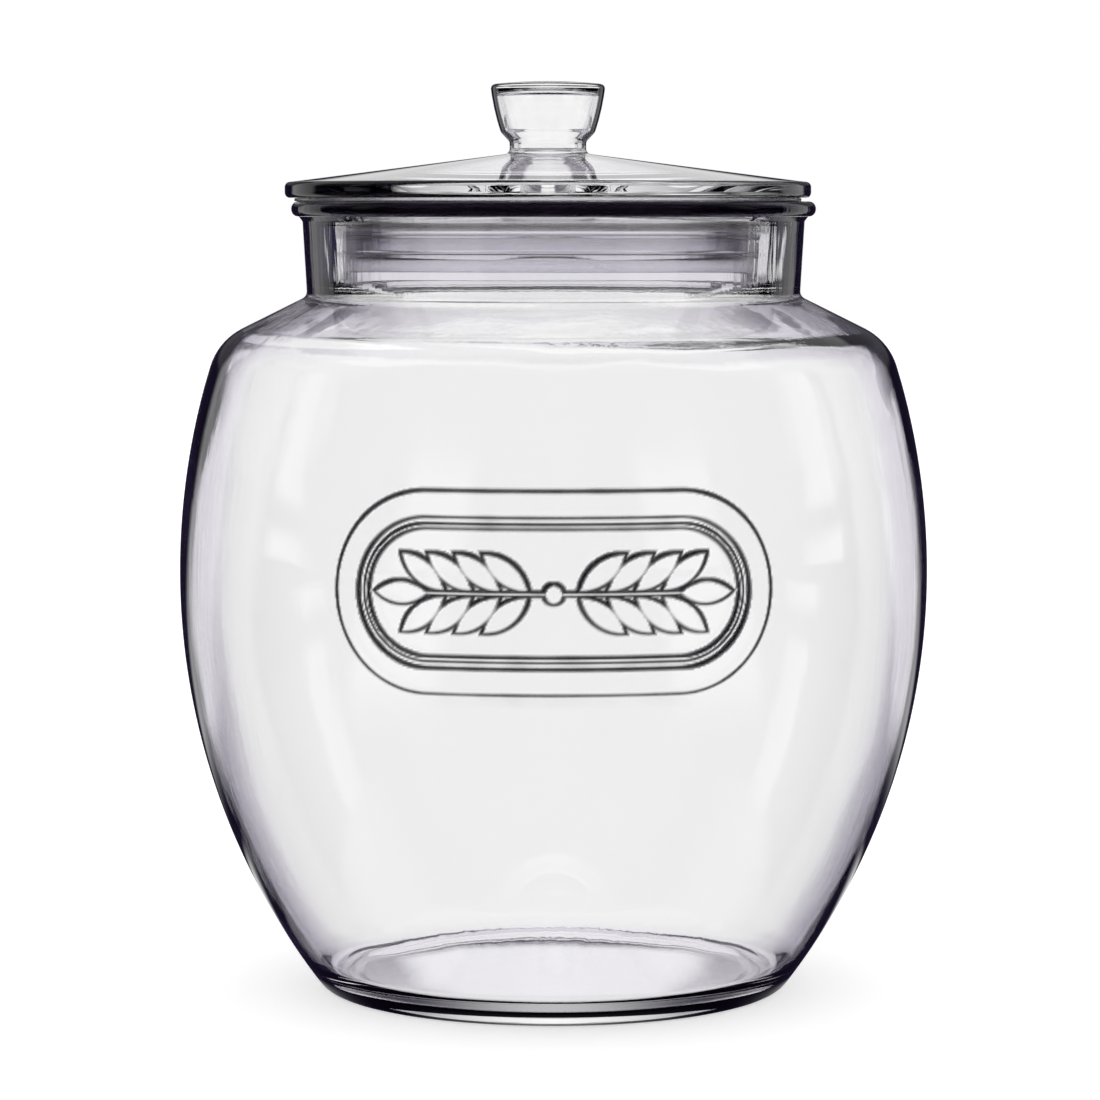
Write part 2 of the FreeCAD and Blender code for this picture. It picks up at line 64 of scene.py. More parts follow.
MM = 0.001
TURN_STEPS = 192                # faces round a turned piece
MERGE = 0.002 * MM              # points closer than this are one
LID_AXIS = (LID_LOW.x + LID_HIGH.x) / 2     # the lid has slipped a little to one side
SEAL_AXIS = (SEAL_LOW.x + SEAL_HIGH.x) / 2
SENSOR = 36.0                   # width of the camera's sensor, in millimetres

# How long an edge of an outline may be: on open curves, and in bends and on fine pieces
OPEN_CELL = 3.2 * MM
BEND_CELL = 1.5 * MM
LID_CELL = 1.2 * MM

# The relief: half widths of its fine line and stem, the gap before that line, the berry
LINE_HALF = 0.6 * MM
LINE_GAP = 2.2 * MM
STEM_HALF = 0.55 * MM
BERRY = 2.6 * MM
LEAF_FOOT = 1 * MM              # from the stem to the foot of a leaf

# Waves of the inside: a slow one and a finer one of a quarter of its height
SLOW_WAVE = 26 * MM
FINE_WAVE = 9 * MM
FINE_SHARE = 0.25

# Facing runs from 0, seen straight on, to 1, seen along the surface.  Each pair says where a tint
# or a painted shade starts and where it is full.
EDGE_FACING = (0.5, 0.75)
RIM_FACING = (0.12, 0.2)
CONE_FACING = (0.88, 0.92)
PATCH_FACING = (0.58, 0.72)
PATCH_NOISE = (0.46, 0.54)
SIDE_FADE = (168 * MM, 150 * MM)        # heights between which the side's painted dark outline fades in
PATCH_FOOT = (150 * MM, 162 * MM)       # heights between which the painted shade patches of the shoulder start
PATCH_TOP = (186 * MM, 182 * MM)        # and end


def length(name, default, description):
    """A length that a user may change."""
    return FloatProperty(name=name, description=description, default=default,
                         min=0.0, subtype='DISTANCE', unit='LENGTH', precision=4)


def angle(name, degrees, description):
    return FloatProperty(name=name, description=description,
                         default=math.radians(degrees), subtype='ANGLE', unit='ROTATION')


def number(name, default, description, low=0.0, high=10.0):
    return FloatProperty(name=name, description=description, default=default,
                         min=low, max=high)


def colour(name, default, description):
    return FloatVectorProperty(name=name, description=description, default=default,
                               size=3, min=0.0, max=1.0, subtype='COLOR')


class JarSizes(bpy.types.PropertyGroup):
    """Sizes of the jar itself."""
    belly_radius: length("Belly radius", JAR_HIGH.x, "Outside radius where the jar is widest")
    base_radius: length("Base radius", 62 * MM, "Radius where the side would meet the table")
    rim_height: length("Rim height", JAR_HIGH.z, "Height of the open jar")
    neck_height: length("Neck height", 25.1 * MM, "From the foot of the neck up to the rim")
    crown_height: length("Crown height", 74.2 * MM, "From the widest ring up to the neck's foot")
    shoulder_slope: angle("Shoulder slope", 26.3, "Fall of the shoulder away from the neck")
    shoulder_share: number("Shoulder share", 0.686, "Part of the overhang that the shoulder takes")
    bend_radius: length("Shoulder bend", 16.5 * MM, "Bend between shoulder and side")
    wall: length("Wall", 3 * MM, "Glass thickness of the body")
    wall_drift: length("Wall drift", 0.7 * MM, "How far the room inside lies off the axis")
    waviness: length("Waviness", 0.12 * MM, "Height of the slow waves on the inside")
    floor_height: length("Floor height", 7.6 * MM, "Middle of the domed floor above the table")
    floor_round: length("Floor bend", 14 * MM, "Inside bend between floor and side")
    heel_round: length("Heel", 5 * MM, "Outside bend between base and side")
    ring_width: length("Standing ring", 10.5 * MM, "Width of the ring that the jar stands on")
    push_up: length("Push-up", 3 * MM, "Rise of the base inside the standing ring")
    knurl: length("Knurl", 0.2 * MM, "Depth of the fine knurl under the standing ring")
    knurl_width: length("Knurl width", 4.5 * MM, "Width of the knurled part of that ring")
    shoulder_waves: number("Shoulder waves", 3.0, "How much stronger the shoulder's waves are")
    bore_radius: length("Bore radius", 58.1 * MM, "Inside radius of the neck")
    neck_wall: length("Neck wall", 7.7 * MM, "Glass thickness at the foot of the neck")
    neck_flare: length("Neck flare", 1.1 * MM, "How far the neck widens up to its rim")
    neck_fillet: length("Neck fillet", 2 * MM, "Hollow where the neck meets the shoulder")
    throat_round: length("Throat", 8 * MM, "Bend from the bore into the shoulder")
    bead_height: length("Bead height", 4 * MM, "Height of the rim bead")
    bead_reach: length("Bead reach", 3 * MM, "How far the bead stands out from the neck")
    bead_lip: length("Bead lip", 2 * MM, "Flat underside of the bead")
    bead_round: length("Bead rounding", 1.9 * MM, "Rounding of the bead")
    bead_taper: length("Bead taper", 1.3 * MM, "Height of the taper under the bead")
    mouth_round: length("Mouth rounding", 1.5 * MM, "Rounding of the inner edge of the mouth")


class LidSizes(bpy.types.PropertyGroup):
    """Sizes of the lid and its hollow knob."""
    radius: length("Radius", (LID_HIGH.x - LID_LOW.x) / 2, "Radius of the lid")
    seat: length("Seat height", SEAL_HIGH.z, "Height of the lid's underside")
    edge: length("Edge", 4.1 * MM, "Thickness of the lid at its edge")
    edge_round: length("Edge rounding", 1.4 * MM, "Rounding of the lid's edge")
    slope: angle("Slope", 7.3, "Rise of the lid towards its knob")
    thickness: length("Thickness", 5.6 * MM, "Thickness of the lid under its slope")
    spigot_radius: length("Ring radius", 53.3 * MM, "Outside radius of the ring under the lid")
    spigot_wall: length("Ring wall", 6.5 * MM, "Thickness of the ring under the lid")
    spigot_foot: length("Ring foot", LID_LOW.z, "Height of the lower end of the ring")
    spigot_round: length("Ring rounding", 1.6 * MM, "Rounding of the ring's corners")
    knob_neck: length("Knob neck", 10.2 * MM, "Radius of the neck under the knob")
    knob_stem: length("Knob stem", 3.13 * MM, "Height of that neck above the lid")
    knob_step: length("Knob step", 2.6 * MM, "Height of the slope from the neck to the side")
    knob_waist: length("Knob waist", 12.6 * MM, "Radius at the foot of the side")
    knob_height: length("Knob height", 12.6 * MM, "Height of the side")
    knob_bulge: length("Knob bulge", 60 * MM, "Radius that the side bulges with")
    knob_radius: length("Knob radius", 15.35 * MM, "Radius at the top of the side")
    knob_crown: length("Knob crown", 0.8 * MM, "Rise of the knob's top")
    knob_wall: length("Knob wall", 2.2 * MM, "Glass thickness round the hollow")
    knob_roof: length("Knob roof", 2.6 * MM, "Glass thickness over the hollow")
    knob_foot_round: length("Knob foot", 1.6 * MM, "Fillet where the knob meets the lid")
    knob_step_round: length("Knob step rounding", 2.2 * MM, "Rounding of the step")
    knob_edge_round: length("Knob edge rounding", 1.3 * MM, "Rounding of the top edge")
    hollow_round: length("Hollow rounding", 1.2 * MM, "Rounding of the corners inside")
    mouth_round: length("Hollow mouth", 1.5 * MM, "Rounding where the hollow opens")


class SealSizes(bpy.types.PropertyGroup):
    """Sizes of the ribbed seal."""
    flange_radius: length("Flange radius", (SEAL_HIGH.x - SEAL_LOW.x) / 2,
                          "Radius of the flange between rim and lid")
    flange: length("Flange", 0.9 * MM, "Thickness of the flange")
    top: length("Top", SEAL_HIGH.z, "Height of the upper face")
    film: length("Film of air", 0.02 * MM, "Air that stays between the flange and the glass")
    foot: length("Foot", SEAL_LOW.z, "Height of the lower end")
    bore: length("Bore", 53.35 * MM, "Inside radius of the sleeve")
    wall: length("Wall", 2 * MM, "Thickness of the sleeve")
    fin_reach: length("Fin reach", 1.1 * MM, "How far the fins stand out")
    fin_root: length("Fin root", 1.7 * MM, "Height of a fin at the sleeve")
    fin_tip: length("Fin tip", 0.7 * MM, "Height of a fin at its tip")
    fin_pitch: length("Fin pitch", 4.9 * MM, "Distance between fins")
    fin_first: length("First fin", 3.4 * MM, "From the rim down to the first fin")
    rounding: length("Rounding", 0.25 * MM, "Rounding of the moulded corners")
    fins: IntProperty(name="Fins", description="Number of fins", default=3, min=0)


class ReliefSizes(bpy.types.PropertyGroup):
    """Sizes of the raised label frame on the front."""
    width: length("Width", 113 * MM, "Width of the frame round the jar")
    height: length("Height", 50 * MM, "Height of the frame")
    centre: length("Centre", 115 * MM, "Height of the frame's middle")
    band: length("Band", 6.5 * MM, "Width of the raised band")
    rise: length("Rise", 0.7 * MM, "How far the relief stands out")
    slope: length("Edge width", 1.8 * MM, "Width of the sloping edge of the relief")
    leaf: length("Leaf length", 15 * MM, "Length of a leaf of the sprig")
    leaf_width: length("Leaf width", 6 * MM, "Width of a leaf")
    leaf_pitch: length("Leaf pitch", 6.9 * MM, "Distance between leaves")
    leaf_angle: angle("Leaf angle", 38, "Spread of the leaves from their stem")
    leaf_pairs: IntProperty(name="Leaf pairs", description="Pairs on each half", default=4)


class GlassLook(bpy.types.PropertyGroup):
    """Colours of the glass and the seal, and the painted shade on the glass."""
    face_tint: colour("Glass", (1.0, 1.0, 1.0), "Glass seen straight on")
    # Partly a faint violet cast of the glass, partly a painted shade: the glass is painted greyer
    # where it is seen at a low angle.
    edge_cast_and_shade_tint: colour("Glass at the edge", (0.85, 0.81, 0.92), "Glass seen at a low angle")
    # Painted shade: a near-black outline painted on the glass where it is seen at a low angle.
    outline_shade_tint: colour("Outline", (0.0012, 0.0008, 0.004), "Glass whose light runs along the wall")
    # Painted shade: dark patches painted on the shoulder where it is seen at a low angle.
    shoulder_shade_tint: colour("Shoulder patches", (0.045, 0.038, 0.065), "Uneven glass of the shoulder")
    # These six place the painted dark outlines of the side, the neck and the knob.
    core: number("Outline start", 0.72, "Facing at which the outline of the side starts")
    core_uneven: number("Outline unevenness", 0.22, "How far noise shifts that start")
    neck_core: number("Neck outline", 0.5, "Facing at which the outline of the neck starts")
    neck_uneven: number("Neck unevenness", 0.7, "How far the streaks shift that start")
    knob_core: number("Knob outline", 0.52, "Facing at which the outline of the knob starts")
    core_soft: number("Outline softness", 0.08, "Facing over which an outline fades in")
    # Painted shade: the relief's slopes and the bead's outer side are painted near black, and so
    # is what they reflect.
    ridge_shade_tint: colour("Relief edge", (0.0002, 0.0001, 0.0004), "Slopes of the relief")
    ior: number("IOR", 1.5, "Refraction of the glass", 1.0, 2.5)
    # Painted shade: the lid's edge is painted near black, fading out only where it is seen
    # straight on.
    rim_shade_tint: colour("Rims", (0.0004, 0.0003, 0.0006), "Edge of the lid at a low angle")
    seal_colour: colour("Seal", (0.9, 0.88, 0.94), "Translucent plastic of the seal")
    seal_clear: length("Clear seal", 204 * MM, "Height from which the seal is clear")
    streak: length("Streaks", 0.1 * MM, "Depth of the fine upright streaks in the neck")
    calm: number("Calm", 0.18, "Share of that depth on the side of the jar")
    calm_base: length("Calm base", 16 * MM, "Height up to which the glass has no streaks")
    rough_neck: length("Streaked neck", 187 * MM, "Height from which the neck is streaked")
    streak_width: length("Streak width", 3 * MM, "Width of those streaks")


class StageLook(bpy.types.PropertyGroup):
    """Camera, floor and studio."""
    camera_distance: length("Camera distance", 1.071, "From the jar's axis to the camera")
    camera_height: length("Camera height", 208.4 * MM, "Height of the camera")
    camera_tilt: angle("Camera tilt", 4.858, "How far the camera looks down")
    camera_side: FloatProperty(name="Camera offset", default=-0.94 * MM, unit='LENGTH',
                               description="How far the camera stands to the side", precision=5)
    lens: number("Lens", 130.91, "Focal length on a 36 mm sensor, in millimetres", 10, 300)
    window: angle("Window", 20, "Half width of the windows seen straight through the glass")
    backdrop: angle("Backdrop", 6, "Half height of the backdrop seen there all round")
    slit: angle("Slit", 8, "Half width of the low windows that a single reflection sees")
    ledge: angle("Ledge", 2, "Height up to which those windows reach")
    skyline: angle("Skyline", 6, "Height from which a single reflection sees the sky")
    gap: angle("Gap", 6, "Half width of the bright gap between the dark flags")
    flag: number("Flags", 0.1, "Share of the backlight that the dark flags still give")
    flag_top: angle("Flag top", 26, "Height up to which the dark flags stand")
    roof: number("Roof", 0.6, "Share of the backlight above and beside the flags")
    wing: angle("Wings", 32, "From where the bright wings beside the dark flags reach")
    wing_top: angle("Wing top", 12, "Height up to which those wings reach")
    wing_light: number("Wing light", 0.75, "Share of the backlight that the wings give")
    overhead: angle("Overhead", 50, "Height from which the studio is bright again")
    softness: angle("Softness", 1.5, "Half width of the soft borders of all these")
    under: length("Under the jar", 64 * MM, "Radius of the floor under the jar")
    under_light: number("Light under it", 0.5, "Share of the backlight from there")
    near: length("Near floor", 150 * MM, "Radius up to which the floor behind is bright")
    far: length("Far floor", 0.32, "Radius from which the floor shows flags and wings")
    led_least: number("Least led light", 0.35, "Least share that light led by the glass brings")
    led_spread: angle("Led spread", 42, "Where the share of that light has faded")
    through: number("Backlight", 1.0, "Brightness of the background seen through the glass")
    dark: colour("Dark", (0.018, 0.012, 0.034), "Studio between the windows")
    ambient: number("Ambient", 0.85, "Plain light of the studio")
    floor_colour: colour("Floor", (0.88, 0.88, 0.88), "Colour of the floor")
    floor_lift: number("Floor lift", 0.5, "Glow that brings the open floor up to white")
    floor_radius: length("Floor radius", 6, "Radius of the floor")


# --------------------------------------------------------------- outlines
class Outline:
    """A run of edges in the XZ plane, drawn from one end to the other."""

    def __init__(self, radius, height, axis=0.0):
        self.bm = bmesh.new()
        self.axis = axis
        self.last = self.bm.verts.new((axis + radius, 0, height))
        self.corners = []       # vertex and the radius that it is rounded to

    def line(self, radius, height, rounding=0.0):
        """Edge to a point, whose corner may be rounded later."""
        point = self.bm.verts.new((self.axis + radius, 0, height))
        self.bm.edges.new((self.last, point))
        self.last = point
        if rounding:
            self.corners.append((point, rounding))

    def arc(self, centre, end, cell):
        """Arc about a centre, by the short way round, to a point."""
        middle = Vector((self.axis + centre[0], 0, centre[1]))
        start = self.last.co - middle
        stop = Vector((self.axis + end[0], 0, end[1])) - middle
        turn = math.atan2(stop.z, stop.x) - math.atan2(start.z, start.x)
        steps = max(2, math.ceil(abs(turn) * start.length / cell))
        spun = bmesh.ops.spin(self.bm, geom=[self.last], cent=middle, axis=(0, -1, 0),
                              angle=turn, steps=steps, use_merge=False, use_duplicate=False)
        self.last = [item for item in spun["geom_last"] if isinstance(item, bmesh.types.BMVert)][0]

    def round_last(self, rounding):
        self.corners.append((self.last, rounding))

    def finish(self, cell, step=math.radians(11)):
        """Round the corners, then divide every edge that is longer than a cell."""
        for point, rounding in self.corners:
            before, after = [edge.other_vert(point).co - point.co for edge in point.link_edges]
            turn = math.pi - before.angle(after)
            bmesh.ops.bevel(self.bm, geom=[point], offset=rounding * math.tan(turn / 2),
                            offset_type='OFFSET', segments=max(2, math.ceil(turn / step)),
                            profile=0.5, affect='VERTICES', material=-1)
        for edge in list(self.bm.edges):
            cuts = math.ceil(edge.calc_length() / cell) - 1
            if cuts > 0:
                bmesh.ops.subdivide_edges(self.bm, edges=[edge], cuts=cuts)
        return self

    def turn(self):
        """Turn the outline fully about its axis and close its seam and poles."""
        bmesh.ops.spin(self.bm, geom=self.bm.verts[:] + self.bm.edges[:],
                       cent=(self.axis, 0, 0), axis=(0, 0, 1), angle=2 * math.pi,
                       steps=TURN_STEPS, use_merge=True, use_duplicate=False)
        bmesh.ops.remove_doubles(self.bm, verts=self.bm.verts, dist=MERGE)
        bmesh.ops.recalc_face_normals(self.bm, faces=self.bm.faces)
        return self.bm


def crossing(first, first_radius, second, second_radius):
    """Where two circles cross on the outer side."""
    first, second = Vector(first), Vector(second)
    apart = (second - first).length
    along = (apart ** 2 + first_radius ** 2 - second_radius ** 2) / (2 * apart)
    beside = math.sqrt(first_radius ** 2 - along ** 2)
    ahead = (second - first) / apart
    return first + ahead * along + Vector((ahead.y, -ahead.x)) * beside


def inner_tangent(arc, radius, bend, level):
    """Centre of a bend that lies on a level and touches an arc from inside."""
    height = level + bend
    across = math.sqrt((radius - bend) ** 2 - (height - arc[1]) ** 2)
    return (arc[0] + across, height)


def stretch(start, end, span):
    """Point on the line from start through end, at a distance from start."""
    away = Vector(end) - Vector(start)
    return Vector(start) + away * (span / away.length)


class JarShape:
    """Places on the jar's outline, worked out from its sizes."""

    def __init__(self, s):
        self.s = s
        self.neck = s.bore_radius + s.neck_wall
        self.neck_foot = s.rim_height - s.neck_height
        self.belly = self.neck_foot - s.crown_height
        self.tan = math.tan(s.shoulder_slope)
        self.fall = Vector((math.cos(s.shoulder_slope), -math.sin(s.shoulder_slope)))
        self.inward = Vector((-math.sin(s.shoulder_slope), -math.cos(s.shoulder_slope)))
        run = s.shoulder_share * (s.belly_radius - self.neck)
        corner = (self.neck + run, self.neck_foot - run * self.tan)
        self.low, self.low_radius = self.side(s.base_radius, 0)
        self.high, self.high_radius = self.side(*corner)
        self.bend = self.bend_centre()

    def side(self, radius, height):
        """Centre and radius of the side's arc that ends at a point."""
        inward = self.s.belly_radius - radius
        away = height - self.belly
        size = (inward ** 2 + away ** 2) / (2 * inward)
        return (self.s.belly_radius - size, self.belly), size

    def bend_centre(self):
        """Centre of the bend between the upper side and the shoulder."""
        start = Vector((self.neck, self.neck_foot)) + self.inward * self.s.bend_radius
        offset = start - Vector(self.high)
        half = offset.dot(self.fall)
        reach = self.high_radius - self.s.bend_radius
        step = -half + math.sqrt(half ** 2 - offset.length_squared + reach ** 2)
        return start + self.fall * step

    def radius_at(self, height):
        """Outside radius of the side at a height."""
        centre, size = ((self.low, self.low_radius) if height < self.belly
                        else (self.high, self.high_radius))
        return centre[0] + math.sqrt(size ** 2 - (height - centre[1]) ** 2)

    def outwards(self, height):
        """Slope of the side at a height: its radial and upward parts."""
        centre = self.low if height < self.belly else self.high
        return Vector((self.radius_at(height) - centre[0], height - centre[1])).normalized()

    def is_inside(self, radius, height):
        """Whether a point of the surface belongs to the room inside."""
        s = self.s
        if height > self.neck_foot:
            return radius < s.bore_radius + s.neck_wall / 2
        under = self.neck_foot - (radius - self.neck) * self.tan - s.wall / 2
        return radius < self.radius_at(height) - s.wall / 2 and height < under


def jar_outline(shape):
    """Outside of the jar from its base to the rim, and back down the inside."""
    s = shape.s
    cell = OPEN_CELL
    ring_inner = s.base_radius - s.ring_width
    dome = (0, s.push_up - (ring_inner ** 2 + s.push_up ** 2) / (2 * s.push_up))
    out = Outline(0, s.push_up)
    out.arc(dome, (ring_inner, 0), cell)
    out.round_last(1 * MM)
    heel = inner_tangent(shape.low, shape.low_radius, s.heel_round, 0)
    out.line(heel[0], 0)
    out.arc(heel, stretch(shape.low, heel, shape.low_radius), 1 * MM)
    out.arc(shape.low, (s.belly_radius, shape.belly), cell)
    bend_foot = stretch(shape.high, shape.bend, shape.high_radius)
    out.arc(shape.high, bend_foot, cell)
    out.arc(shape.bend, shape.bend - shape.inward * s.bend_radius, BEND_CELL)
    out.line(shape.neck, shape.neck_foot, s.neck_fillet)
    neck_top = shape.neck + s.neck_flare
    rim = neck_top + s.bead_reach
    bead = s.rim_height - s.bead_height
    out.line(neck_top, bead - s.bead_taper, 0.8 * MM)
    out.line(rim - s.bead_lip, bead, 0.3 * MM)
    out.line(rim, bead, s.bead_round * 0.98)
    out.line(rim, s.rim_height, s.bead_round)
    out.line(s.bore_radius, s.rim_height, s.mouth_round)
    inner_foot = shape.neck_foot - s.wall / math.cos(s.shoulder_slope) + s.neck_wall * shape.tan
    out.line(s.bore_radius, inner_foot, s.throat_round)
    inner_bend = s.bend_radius - s.wall
    inner_high = shape.high_radius - s.wall
    inner_low = shape.low_radius - s.wall
    bend_top = shape.bend - shape.inward * inner_bend
    out.line(bend_top.x, bend_top.y)
    out.arc(shape.bend, stretch(shape.high, shape.bend, inner_high), BEND_CELL)
    out.arc(shape.high, (s.belly_radius - s.wall, shape.belly), cell)
    floor = s.floor_height - dome[1]
    corner = crossing(dome, floor + s.floor_round, shape.low, inner_low - s.floor_round)
    out.arc(shape.low, stretch(shape.low, corner, inner_low), cell)
    out.arc(corner, stretch(dome, corner, floor), BEND_CELL)
    out.arc(dome, (0, s.floor_height), cell)
    return out.finish(cell)


def lid_outline(s):
    """Top of the lid over its knob, round the edge, and up into the hollow knob."""
    edge_top = s.seat + s.edge
    rise = math.tan(s.slope)
    foot = edge_top + (s.radius - s.knob_neck) * rise
    neck_top = foot + s.knob_stem
    waist = neck_top + s.knob_step
    knob_edge = waist + s.knob_height
    summit = knob_edge + s.knob_crown
    crown = (s.knob_radius ** 2 + s.knob_crown ** 2) / (2 * s.knob_crown)
    bore = s.spigot_radius - s.spigot_wall
    coarse = 4 * MM

    def under(radius):
        return edge_top + (s.radius - radius) * rise - s.thickness

    out = Outline(0, summit, LID_AXIS)
    out.arc((0, summit - crown), (s.knob_radius, knob_edge), coarse)
    out.round_last(s.knob_edge_round)
    side = bulge_centre((s.knob_waist, waist), (s.knob_radius, knob_edge), s.knob_bulge)
    out.arc(side, (s.knob_waist, waist), coarse)
    out.round_last(s.knob_step_round)
    out.line(s.knob_neck, neck_top, s.knob_step_round * 0.6)
    out.line(s.knob_neck, foot, s.knob_foot_round)
    out.line(s.radius, edge_top, s.edge_round)
    out.line(s.radius, s.seat, s.edge_round)
    out.line(s.spigot_radius, s.seat, 0.4 * MM)
    out.line(s.spigot_radius, s.spigot_foot, s.spigot_round)
    out.line(bore, s.spigot_foot, s.spigot_round)
    out.line(bore, under(bore), s.spigot_round)
    hollow = s.knob_neck - s.knob_wall
    lift = s.knob_wall * math.tan(math.atan((s.knob_waist - s.knob_neck) / s.knob_step) / 2)
    roof = summit - s.knob_roof
    inner_waist = (s.knob_waist - s.knob_wall, waist + lift)
    shoulder = (s.knob_radius - s.knob_wall, roof)
    out.line(hollow, under(hollow), s.mouth_round)
    out.line(hollow, neck_top + lift, s.hollow_round)
    out.line(*inner_waist, s.hollow_round)
    out.arc(bulge_centre(inner_waist, shoulder, s.knob_bulge - s.knob_wall), shoulder, coarse)
    out.round_last(s.hollow_round)
    out.line(0, roof)
    return out.finish(LID_CELL)


def bulge_centre(low, high, radius):
    """Centre of the arc through two points that bulges outwards."""
    low, high = Vector(low), Vector(high)
    chord = high - low
    back = math.sqrt(radius ** 2 - (chord.length / 2) ** 2)
    along = chord.normalized()
    return (low + high) / 2 + Vector((-along.y, along.x)) * back


def seal_outline(s):
    """Sleeve with its fins and the flange that the lid clamps."""
    side = s.bore + s.wall
    tip = side + s.fin_reach
    rim = s.top - s.flange
    low = rim + s.film
    high = s.top - s.film
    out = Outline(s.bore, high, SEAL_AXIS)
    first = out.last
    out.line(s.bore, s.foot, s.rounding)
    out.line(side, s.foot, s.rounding)
    for fin in reversed(range(s.fins)):
        middle = rim - s.fin_first - fin * s.fin_pitch
        out.line(side, middle - s.fin_root / 2, s.rounding)
        out.line(tip, middle - s.fin_tip / 2, s.rounding)
        out.line(tip, middle + s.fin_tip / 2, s.rounding)
        out.line(side, middle + s.fin_root / 2, s.rounding)
    out.line(side, low, s.rounding)
    out.line(s.flange_radius, low, s.rounding)
    out.line(s.flange_radius, high, s.rounding)
    out.bm.edges.new((out.last, first))
    return out.finish(BEND_CELL)


# ----------------------------------------------------------------- relief
def soft_step(distance, width):
    """0 outside, 1 inside, and a smooth slope of this width between them."""
    part = min(max(distance / width + 0.5, 0.0), 1.0)
    return part * part * (3 - 2 * part)


def panel_depth(across, up, half_width, half_height):
    """How deep a point lies inside a panel with fully round ends."""
    ends = half_width - half_height
    beyond = max(abs(across) - ends, 0.0)
    return half_height - math.hypot(beyond, up)


def leaf_depth(along, beside, leaf, width):
    """How deep a point lies inside a pointed leaf that starts at the origin."""
    half = leaf / 2
    radius = (half ** 2 + (width / 2) ** 2) / width
    return radius - math.hypot(along - half, abs(beside) + radius - width / 2)


def leaf_places(s):
    """Foot and direction of each leaf: two sprigs that run out from the middle."""
    for side in (-1, 1):
        for pair in range(s.leaf_pairs):
            foot = side * (pair + 0.75) * s.leaf_pitch
            for spread in (-s.leaf_angle, s.leaf_angle):
                yield foot, 0.0, (0.0 if side > 0 else math.pi) + side * spread
        yield side * (s.leaf_pairs + 0.3) * s.leaf_pitch, 0.0, 0.0 if side > 0 else math.pi


def relief_depth(s, leaves, across, up):
    """How deep a point lies inside the nearest raised form."""
    outer = panel_depth(across, up, s.width / 2, s.height / 2)
    if outer < -s.slope:
        return outer
    band = min(outer, s.band - outer)
    line = LINE_HALF - abs(outer - s.band - LINE_GAP)
    past_end = max(abs(across) - (s.leaf_pairs + 0.5) * s.leaf_pitch, 0)
    stem = STEM_HALF - math.hypot(past_end, up)
    berry = BERRY - math.hypot(across, up)
    best = max(band, line, stem, berry)
    for foot, height, direction in leaves:
        ahead, above = across - foot, up - height
        if math.hypot(ahead, above) < s.leaf * 1.2:
            along = ahead * math.cos(direction) + above * math.sin(direction)
            beside = above * math.cos(direction) - ahead * math.sin(direction)
            best = max(best, leaf_depth(along - LEAF_FOOT, beside, s.leaf, s.leaf_width))
    return best


def ridge_shade_weight(s, leaves, across, up, part):
    """Painted shade on a slope: bold where it faces sideways or up, thin where it faces down."""
    if part <= 0.0 or part >= 1.0:
        return 0.0
    reach = 0.3 * MM
    sideways = (relief_depth(s, leaves, across + reach, up)
                - relief_depth(s, leaves, across - reach, up)) / (2 * reach)
    upward = (relief_depth(s, leaves, across, up - reach)
              - relief_depth(s, leaves, across, up + reach)) / (2 * reach)
    bold = min(abs(sideways) + max(upward, 0.0) * 0.75, 1.0)
    uneven = 1 + 0.5 * noise.noise(Vector((across, up, 0)) / (7 * MM))
    sharpness = (1.3 - 1.15 * bold) * uneven
    line = (4 * part * (1 - part)) ** max(sharpness, 0.12)
    return line * (2 - line)


def raise_relief(bm, shape, s, cuts=7):
    """Divide the front finely, press the label frame out of it and store the painted shade of its
    slopes.
    """
    relief_and_bead_shade = bm.verts.layers.float.new("relief_and_bead_shade")
    margin = 2 * MM
    low, high = s.centre - s.height / 2 - margin, s.centre + s.height / 2 + margin
    reach = (s.width / 2 + margin) / shape.s.belly_radius

    def on_front(point):
        turn = math.atan2(point.x, -point.y)
        radius = math.hypot(point.x, point.y)
        return low < point.z < high and abs(turn) < reach and not shape.is_inside(radius, point.z)

    patch = [face for face in bm.faces if on_front(face.calc_center_median())]
    edges = list(dict.fromkeys(edge for face in patch for edge in face.edges))
    bmesh.ops.subdivide_edges(bm, edges=edges, cuts=cuts, use_grid_fill=True)
    leaves = list(leaf_places(s))
    for vert in bm.verts:
        point = vert.co
        if not (low - margin < point.z < high + margin and on_front(point)):
            continue
        turn = math.atan2(point.x, -point.y)
        radius = shape.radius_at(point.z)
        depth = relief_depth(s, leaves, turn * radius, point.z - s.centre)
        part = soft_step(depth, s.slope)
        # Painted shade: how dark this part of the relief's slope is painted.
        vert[relief_and_bead_shade] = ridge_shade_weight(s, leaves, turn * radius, point.z - s.centre, part)
        away = shape.outwards(point.z) * s.rise * part
        radius += away.x
        vert.co = (math.sin(turn) * radius, -math.cos(turn) * radius, point.z + away.y)


def mark_rim(bm, name, low, high, radius):
    """Mark the vertices between two heights that lie beyond a radius."""
    layer = bm.verts.layers.float.get(name) or bm.verts.layers.float.new(name)
    for vert in bm.verts:
        if low < vert.co.z < high and math.hypot(vert.co.x, vert.co.y) > radius:
            vert[layer] = 1.0


